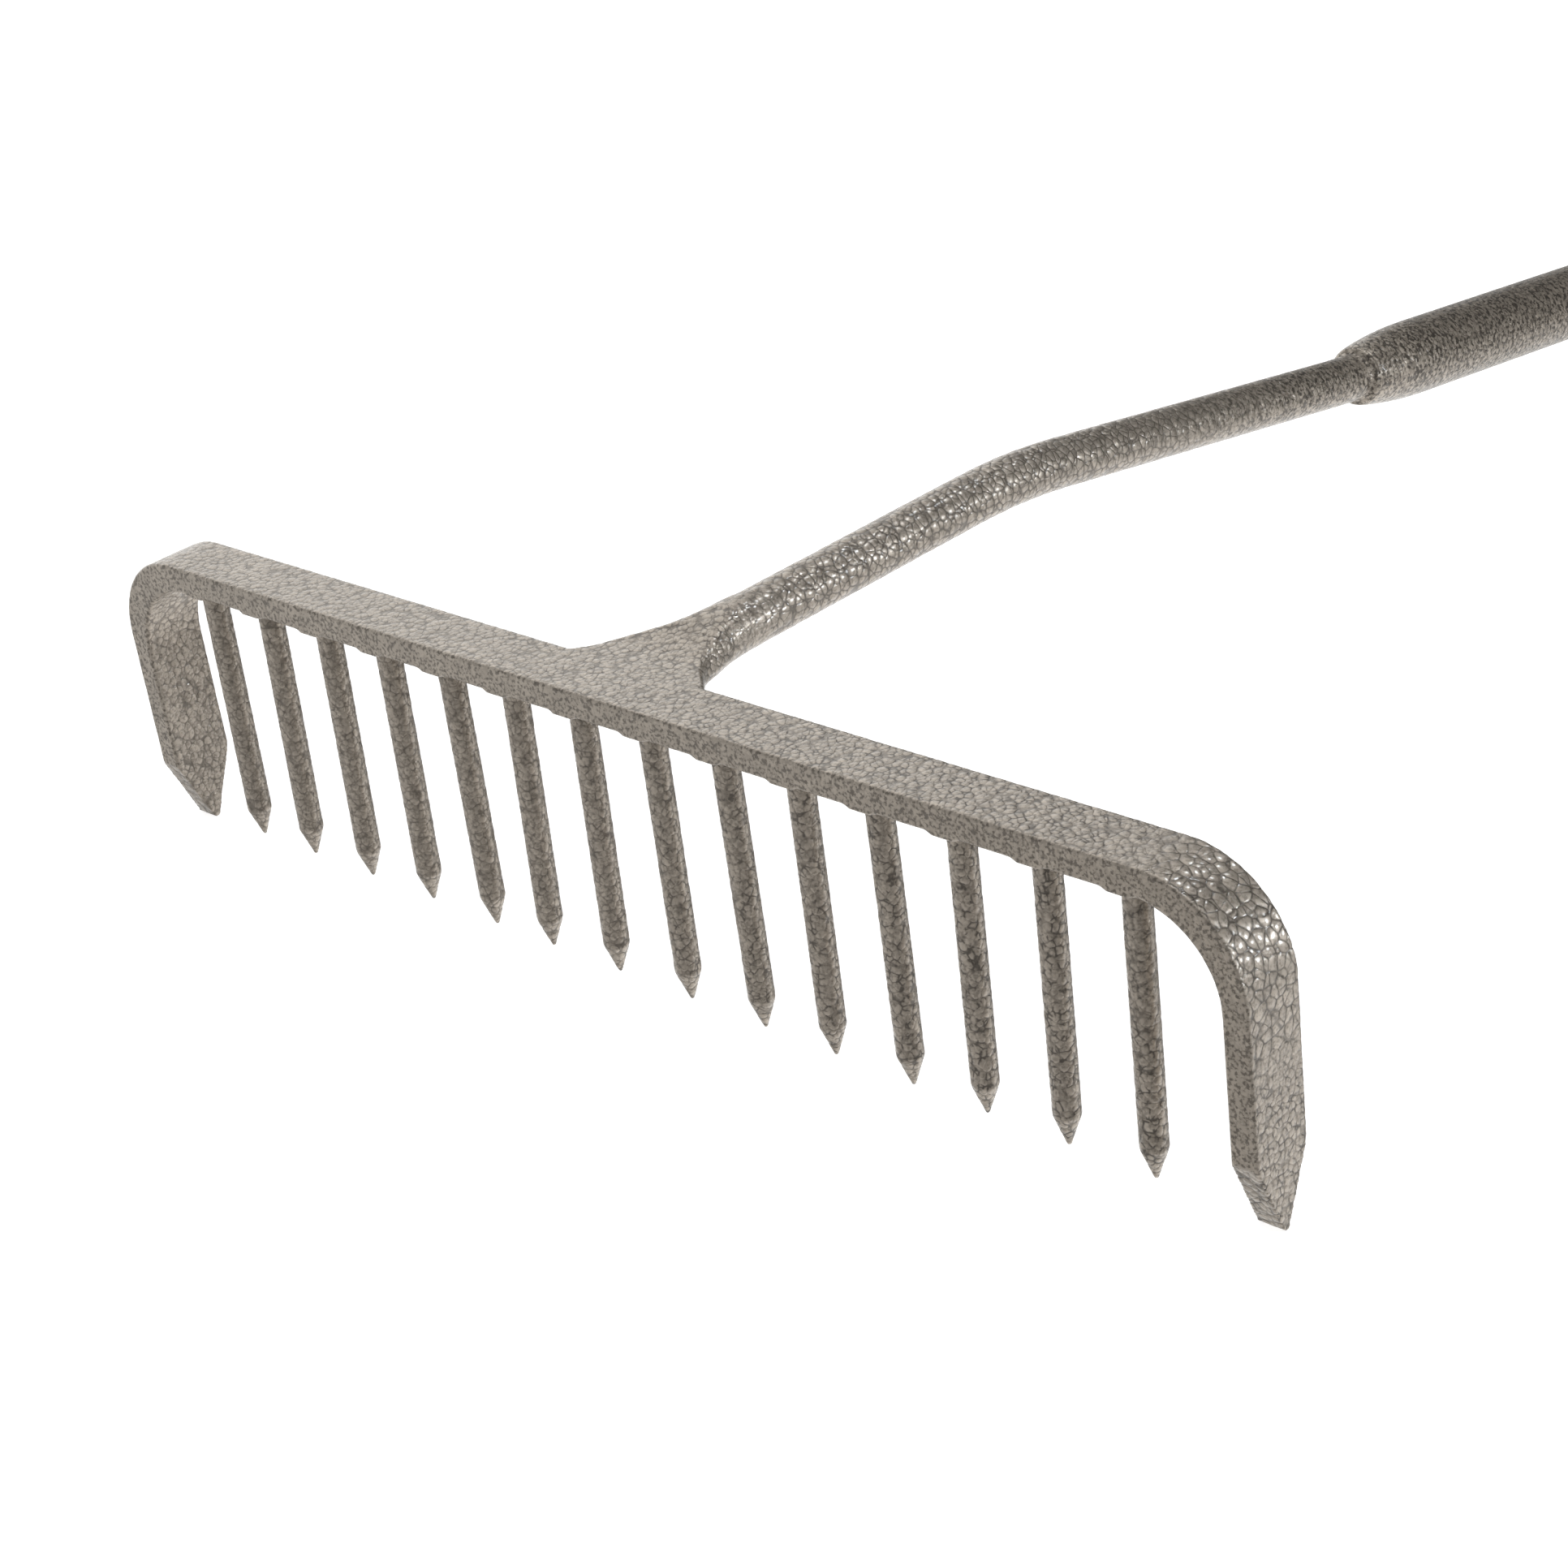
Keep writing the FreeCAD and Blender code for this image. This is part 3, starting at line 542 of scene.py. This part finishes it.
def pale_floor():
    """Smooth pale paper, with a faint tone that drifts slowly."""
    material, graph, shader, place = new_material("pale_floor", Roughness=0.9)
    drift = graph.step(graph.noise(place, FLOOR_DRIFT_SIZE, 1.0), 0.3, 0.7)
    graph.feed(shader.inputs["Base Color"], graph.colours(drift, *FLOOR_COLOURS))
    shader.inputs["Emission Color"].default_value = (1, 1, 1, 1)
    shader.inputs["Emission Strength"].default_value = FLOOR_GLOW
    return material


# ---------------------------------------------------------------- meshes


def new_object(name, data):
    """An object with this mesh, camera or light, in the scene."""
    made = bpy.data.objects.new(name, data)
    bpy.context.scene.collection.objects.link(made)
    return made


def new_piece(name, bm):
    """An object with a smooth mesh, from a bmesh in the row frame."""
    bmesh.ops.recalc_face_normals(bm, faces=bm.faces)
    mesh = bpy.data.meshes.new(name)
    bm.to_mesh(mesh)
    bm.free()
    mesh.shade_smooth()
    return new_object(name, mesh)


def apply_modifiers(piece):
    """Replace a piece's mesh by what its modifiers make of it."""
    bpy.context.view_layer.update()
    depsgraph = bpy.context.evaluated_depsgraph_get()
    made = bpy.data.meshes.new_from_object(piece.evaluated_get(depsgraph))
    piece.modifiers.clear()
    piece.data = made
    piece.data.name = piece.name


def add_relief(piece, tree):
    """Move the mesh's points as the tree says."""
    piece.modifiers.new("relief", "NODES").node_group = tree
    apply_modifiers(piece)
    piece.data.shade_smooth()


def finish_piece(piece, material, node):
    """Give a piece its material, hang it on the root body, and hide the CAD node that it stands for."""
    piece.data.materials.clear()
    piece.data.materials.append(material)
    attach(piece, "root")
    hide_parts(node)


def refine(profile, step):
    """A profile with more points, so that none is more than a step from the next."""
    points = [profile[0]]
    for (t0, r0), (t1, r1) in zip(profile, profile[1:]):
        count = max(1, math.ceil(math.hypot(t1 - t0, r1 - r0) / step))
        points += [(t0 + (t1 - t0) * i / count, r0 + (r1 - r0) * i / count) for i in range(1, count + 1)]
    return points


def arc(centre, radius, start, end, count):
    """Points on an arc of a profile, from one angle to another, in degrees from the axis."""
    turns = (math.radians(start + (end - start) * i / count) for i in range(count + 1))
    return [(centre[0] + radius * math.cos(a), centre[1] + radius * math.sin(a)) for a in turns]


def lathe(name, profile, start, axis, segments, hollow=False, ripple=None):
    """A piece turned about an axis. Its profile has distances along the axis and radii.

    A solid profile starts and ends on the axis. A hollow one is a closed loop. ripple says how much
    to add to the radius, by the distance along the axis and the angle.
    """
    side = Vector((0, 0, 1)).cross(axis).normalized()
    other = axis.cross(side)
    bm = bmesh.new()
    rings = []
    for along, radius in profile:
        if radius <= 0:
            rings.append([bm.verts.new(start + axis * along)])
            continue
        ring = []
        for i in range(segments):
            angle = 2 * math.pi * i / segments
            reach = radius + (ripple(along, angle) if ripple else 0)
            outward = side * (reach * math.cos(angle)) + other * (reach * math.sin(angle))
            ring.append(bm.verts.new(start + axis * along + outward))
        rings.append(ring)
    pairs = list(zip(rings, rings[1:]))
    if hollow:
        pairs.append((rings[-1], rings[0]))
    for lower, upper in pairs:
        for i in range(segments):
            j = (i + 1) % segments
            corners = [ring[k % len(ring)] for ring, k in ((lower, i), (lower, j), (upper, j), (upper, i))]
            bm.faces.new(list(dict.fromkeys(corners)))
    return new_piece(name, bm)


def tine_ends(node):
    """The middle of a CAD tine's top, which is inside the bar, and its tip, in the row frame."""
    inside = HEAD.inverted()
    points = np.array([inside @ v.co for v in frame["nodes"][node].data.vertices])
    ends = []
    for level in (points[:, 2].max(), points[:, 2].min()):
        ring = points[np.abs(points[:, 2] - level) < 0.3 * MM]
        ends.append(HEAD @ Vector((ring.min(0) + ring.max(0)) / 2))
    return ends


def make_tine(node, relief):
    """A round tine with a blunt conical point. Its shank starts inside the bar."""
    top, tip = tine_ends(node)
    axis = (tip - top).normalized()
    length = (tip - top).length
    shoulder = length - TINE_POINT
    profile = [
        (TINE_START, 0.0),
        (TINE_START, TINE_RADIUS),
        # The paint softens the shoulder, where the point begins.
        (shoulder - 0.5 * MM, TINE_RADIUS),
        (shoulder + 0.15 * MM, TINE_RADIUS - 0.12 * MM),
        (shoulder + 0.8 * MM, TINE_RADIUS - 0.32 * MM),
        # The tip is blunt and rounded.
        (length - 0.7 * MM, TINE_TIP + 0.1 * MM),
        (length - 0.25 * MM, TINE_TIP - 0.1 * MM),
        (length, TINE_TIP * 0.4),
        (length, 0.0),
    ]
    piece = lathe(node + "_painted", refine(profile, LATHE_STEP), top, axis, segments=38)
    add_relief(piece, relief)
    return piece


def filler(bm, centre, radius, low, high):
    """A short cylinder, in the head's frame, that fills a seat or joins two solids."""
    place = Matrix.Translation(centre + Vector((0, 0, (low + high) / 2)))
    bmesh.ops.create_cone(bm, cap_ends=True, segments=32, radius1=radius, radius2=radius,
                          depth=high - low, matrix=place)


def forged_head(tines):
    """The bar and the neck as one skin, with the seats filled: they are welded, ground and painted."""
    bm = bmesh.new()
    for node in ("head_bar", "neck"):
        bm.from_mesh(frame["nodes"][node].data)
    bmesh.ops.remove_doubles(bm, verts=bm.verts, dist=0.001 * MM)
    inside = HEAD.inverted()
    bm.transform(inside)
    collar_bottom = -BAR_THICKNESS - COLLAR_HEIGHT + 0.02 * MM
    for node in tines:
        top = inside @ tine_ends(node)[0]
        filler(bm, Vector((top.x, top.y, 0)), TINE_RADIUS + SEAT_MARGIN, collar_bottom, -SEAT_TOP)
    for x in NECK_FILLERS:
        filler(bm, Vector((x, BAR_DEPTH, 0)), NECK_FILLER_RADIUS,
               -BAR_THICKNESS + NECK_FILLER_MARGIN, -NECK_FILLER_MARGIN)
    piece = new_piece("forged_head", bm)
    voxels = piece.modifiers.new("voxels", "REMESH")
    voxels.mode = "VOXEL"
    voxels.voxel_size = STEEL_VOXEL
    soften = piece.modifiers.new("soften", "SMOOTH")
    soften.factor = 0.5
    soften.iterations = 1
    apply_modifiers(piece)
    piece.data.transform(HEAD)
    return piece


def part_of(skin, name, seam, away):
    """The part of the skin on one side of the seam, closed there, with the whole skin's normals."""
    bm = bmesh.new()
    bm.from_mesh(skin.data)
    everything = bm.verts[:] + bm.edges[:] + bm.faces[:]
    bmesh.ops.bisect_plane(bm, geom=everything, plane_co=seam, plane_no=away, clear_outer=True)
    skin_faces = len(bm.faces)
    rim = [e for e in bm.edges if e.is_boundary]
    bmesh.ops.edgeloop_fill(bm, edges=rim)
    mesh = bpy.data.meshes.new(name)
    bm.to_mesh(mesh)
    bm.free()
    mesh.shade_smooth()
    normals = np.empty(len(mesh.vertices) * 3, np.float32)
    mesh.attributes["skin_normal"].data.foreach_get("vector", normals)
    corner = np.empty(len(mesh.loops), np.int32)
    mesh.loops.foreach_get("vertex_index", corner)
    at_corner = normals.reshape(-1, 3)[corner]
    for cap in mesh.polygons[skin_faces:]:
        at_corner[cap.loop_start:cap.loop_start + cap.loop_total] = cap.normal
    mesh.normals_split_custom_set(at_corner)
    mesh.attributes.remove(mesh.attributes["skin_normal"])
    return new_object(name, mesh)


def split_head(skin):
    """Divide the skin where the neck is welded to the bar. The paint runs over the weld unbroken."""
    normals = np.empty(len(skin.data.vertices) * 3, np.float32)
    skin.data.vertex_normals.foreach_get("vector", normals)
    skin.data.attributes.new("skin_normal", "FLOAT_VECTOR", "POINT").data.foreach_set("vector", normals)
    seam = HEAD @ Vector((0, BAR_DEPTH + SEAM_GAP, 0))
    bar = part_of(skin, "head_bar_painted", seam, BACK)
    neck = part_of(skin, "neck_painted", seam, -BACK)
    bpy.data.objects.remove(skin)
    return bar, neck


def make_socket(start, relief):
    """A tube swaged down to a nose that grips the neck."""
    drop = SOCKET_RADIUS - MOUTH_RADIUS
    nose_arc = (NOSE_LENGTH ** 2 + drop ** 2) / (2 * drop)
    reach = math.degrees(math.asin(NOSE_LENGTH / nose_arc))
    nose = arc((NOSE_LENGTH, SOCKET_RADIUS - nose_arc), nose_arc, 90 + reach, 90, 40)
    lip_middle = (SOCKET_LIP, MOUTH_RADIUS - SOCKET_LIP)
    edge_middle = (SOCKET_LENGTH - SOCKET_EDGE, SOCKET_RADIUS - SOCKET_EDGE)
    profile = [(0.0, ROD_RADIUS), (0.0, MOUTH_RADIUS - SOCKET_LIP)]
    profile += arc(lip_middle, SOCKET_LIP, 180, 110, 4)[1:]
    profile += [p for p in nose if p[0] > 2 * SOCKET_LIP]
    profile += arc(edge_middle, SOCKET_EDGE, 90, 0, 4)
    profile += [(SOCKET_LENGTH, SOCKET_BORE), (FLARE_END, SOCKET_BORE), (GRIP_LENGTH, ROD_RADIUS)]
    profile = refine(profile, SOCKET_STEP)
    piece = lathe("socket_painted", profile, start, HANDLE_AXIS, segments=100, hollow=True)
    add_relief(piece, relief)
    return piece


def make_bead(start, relief):
    """The weld bead at the mouth: it blends the neck into the socket's nose, with uneven ripples."""
    def ripple(along, angle):
        share = max(0.0, min(1.0, (along + BEAD_LENGTH) / BEAD_LENGTH))
        wave = math.sin(13 * angle + 1.2 * math.sin(3 * angle)) + 0.6 * math.sin(7 * angle + 2)
        return BEAD_RIPPLE * math.sin(math.pi * share) * wave

    inner = ROD_RADIUS - BEAD_INSET
    rise = MOUTH_RADIUS - BEAD_INSET - ROD_RADIUS
    low, high = BEAD_BLEND
    profile = [(BEAD_OVERLAP, inner), (-BEAD_LENGTH, inner)]
    count = 16
    for i in range(count + 1):
        share = i / count
        steep = max(0.0, min(1.0, (share - low) / (high - low)))
        blend = steep * steep * (3 - 2 * steep)
        crown = BEAD_CROWN * math.sin(math.pi * share) ** 2
        along = -BEAD_LENGTH + (BEAD_LENGTH + BEAD_OVERLAP) * share
        profile.append((along, ROD_RADIUS + rise * blend + crown))
    piece = lathe("socket_weld_bead_painted", profile, start, HANDLE_AXIS, segments=140, hollow=True,
                  ripple=ripple)
    add_relief(piece, relief)
    return piece


def make_handle(start):
    """The ash shaft: tenon, shoulder, parallel shaft and rounded butt, with its grain in relief."""
    tenon_start = SOCKET_LENGTH - HANDLE_INSERT
    end = tenon_start + HANDLE_LENGTH
    tenon = SOCKET_BORE - TENON_CLEARANCE
    profile = [
        (tenon_start, 0.0),
        (tenon_start, SOCKET_BORE - TENON_TAPER),
        (tenon_start + TENON_LEAD, tenon),
        (SOCKET_LENGTH, tenon),
        (SOCKET_LENGTH + TENON_CLEARANCE, SOCKET_RADIUS - SHOULDER_EDGE),
        (SOCKET_LENGTH + 1.5 * SHOULDER_EDGE, SOCKET_RADIUS),
        (SOCKET_LENGTH + SHOULDER_LENGTH, SHAFT_RADIUS),
        (end - BUTT_ROUND, SHAFT_RADIUS),
    ]
    butt = arc((end - BUTT_ROUND, SHAFT_RADIUS - BUTT_ROUND), BUTT_ROUND, 90, 0, 12)
    profile += butt[1:] + [(end, 0.0)]
    piece = lathe("handle_ash", refine(profile, HANDLE_STEP), start, HANDLE_AXIS, segments=96)
    add_relief(piece, relief_tree("ash_relief", ash_relief))
    return piece


def make_rivet(start):
    """The rivet through socket and tenon: a shank with two domed heads that sit on the tube."""
    ball = (RIVET_HEAD ** 2 + RIVET_RISE ** 2) / (2 * RIVET_RISE)
    top = SOCKET_RADIUS + RIVET_RISE
    reach = math.degrees(math.acos((ball - RIVET_RISE - RIVET_SINK) / ball))
    head = arc((top - ball, 0.0), ball, 0, reach, 14)
    near = [(-t, r) for t, r in head]
    far = [(t, r) for t, r in reversed(head)]
    shank = [(near[-1][0], RIVET_SHANK), (far[0][0], RIVET_SHANK)]
    near[0] = (-top, 0.0)
    far[-1] = (top, 0.0)
    middle = start + HANDLE_AXIS * (SOCKET_LENGTH - RIVET_SETBACK)
    return lathe("handle_rivet_zinc", near + shank + far, middle, Vector((1, 0, 0)), segments=48)


def make_rake():
    """Every piece of the rake, each over its own CAD node."""
    paint = hammered_paint()
    relief = relief_tree("paint_relief", paint_relief)
    tines = sorted(name for name in frame["nodes"] if name.startswith("tine_"))
    skin = forged_head(tines)
    add_relief(skin, relief)
    bar, neck = split_head(skin)
    finish_piece(bar, paint, "head_bar")
    finish_piece(neck, paint, "neck")
    for node in tines:
        finish_piece(make_tine(node, relief), paint, node)
    start = socket_start()
    finish_piece(make_socket(start, relief), paint, "socket")
    finish_piece(make_bead(start, relief), paint, "socket_weld_bead")
    finish_piece(make_handle(start), ash_wood(), "handle")
    finish_piece(make_rivet(start), rivet_steel(), "handle_rivet")


# ---------------------------------------------------------------- studio


def direction(azimuth, elevation):
    """From the object towards a place: azimuth 0 is in front of the tines, 90 at the bar's right."""
    a, e = math.radians(azimuth), math.radians(elevation)
    return Vector((math.sin(a) * math.cos(e), -math.cos(a) * math.cos(e), math.sin(e)))


def add_camera():
    """The camera at the photograph's angle."""
    data = bpy.data.cameras.new("camera")
    data.lens = CAMERA_LENS
    data.clip_start = 0.01
    data.clip_end = 200
    camera = new_object("camera", data)
    bpy.context.scene.camera = camera
    back = direction(CAMERA_AZIMUTH, CAMERA_ELEVATION)
    right = Vector((0, 0, 1)).cross(back).normalized()
    right = Matrix.Rotation(math.radians(-CAMERA_ROLL), 3, back) @ right
    matrix = Matrix((right, back.cross(right), back)).transposed().to_4x4()
    matrix.translation = HEAD @ Vector((AIM_RIGHT, AIM_BACK, 0)) + back * CAMERA_DISTANCE
    camera.matrix_world = matrix


def add_softbox(name, lit, towards, distance, size, radiance, spread):
    """A soft light that faces the head and lights the rake only."""
    data = bpy.data.lights.new(name, "AREA")
    data.shape = "RECTANGLE"
    data.size, data.size_y = size
    data.color = SOFTBOX_COLOUR
    data.spread = math.radians(spread)
    narrowing = 1 - data.spread / 2 / math.tan(data.spread / 2)
    data.energy = radiance * math.pi * size[0] * size[1] * narrowing
    light = new_object(name, data)
    towards = HEAD.to_3x3() @ Vector(towards).normalized()
    light.location = HEAD.translation + towards * distance
    light.rotation_mode = "QUATERNION"
    light.rotation_quaternion = towards.to_track_quat("Z", "Y")
    light.visible_camera = False
    light.light_linking.receiver_collection = lit
    return light


def add_lights():
    """The softboxes. The fill makes no highlight of its own."""
    lit = bpy.data.collections.new("lit_by_softboxes")
    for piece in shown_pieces():
        lit.objects.link(piece)
    lights = {name: add_softbox(name, lit, *values) for name, values in SOFTBOXES.items()}
    lights["fill"].visible_glossy = False


def add_surroundings():
    """Pale walls with dark flats for the paint to reflect, and a plain pale backdrop for the camera."""
    world = bpy.data.worlds.new("studio")
    bpy.context.scene.world = world
    world.use_nodes = True
    graph = Graph(world.node_tree)
    background = world.node_tree.nodes["Background"]
    way = graph.add("ShaderNodeTexCoord").outputs["Generated"]

    def flat(towards, begins, full, brightness, around=1.0):
        towards = HEAD.to_3x3() @ Vector(towards).normalized()
        return graph.step(graph.dot(way, tuple(towards)), begins, full, around, brightness)

    walls = flat(*CAMERA_WALL, WALL_BRIGHTNESS)
    for values in DARK_FLATS.values():
        walls = graph.times(walls, flat(*values))
    background.inputs["Color"].default_value = WALL_COLOUR
    seen = graph.add("ShaderNodeLightPath").outputs["Is Camera Ray"]
    graph.feed(background.inputs["Strength"], graph.mix(seen, walls, BACKDROP_BRIGHTNESS))


def add_floor():
    """A wide pale floor at the height of the tines' tips and the butt."""
    bm = bmesh.new()
    bmesh.ops.create_grid(bm, x_segments=8, y_segments=8, size=FLOOR_REACH)
    floor = new_piece("floor", bm)
    floor.location.z = cad_box[0].z
    floor.data.materials.append(pale_floor())
    floor.visible_glossy = False


add_camera()
make_rake()
add_lights()
add_floor()
add_surroundings()
bpy.context.scene.view_settings.view_transform = "Standard"
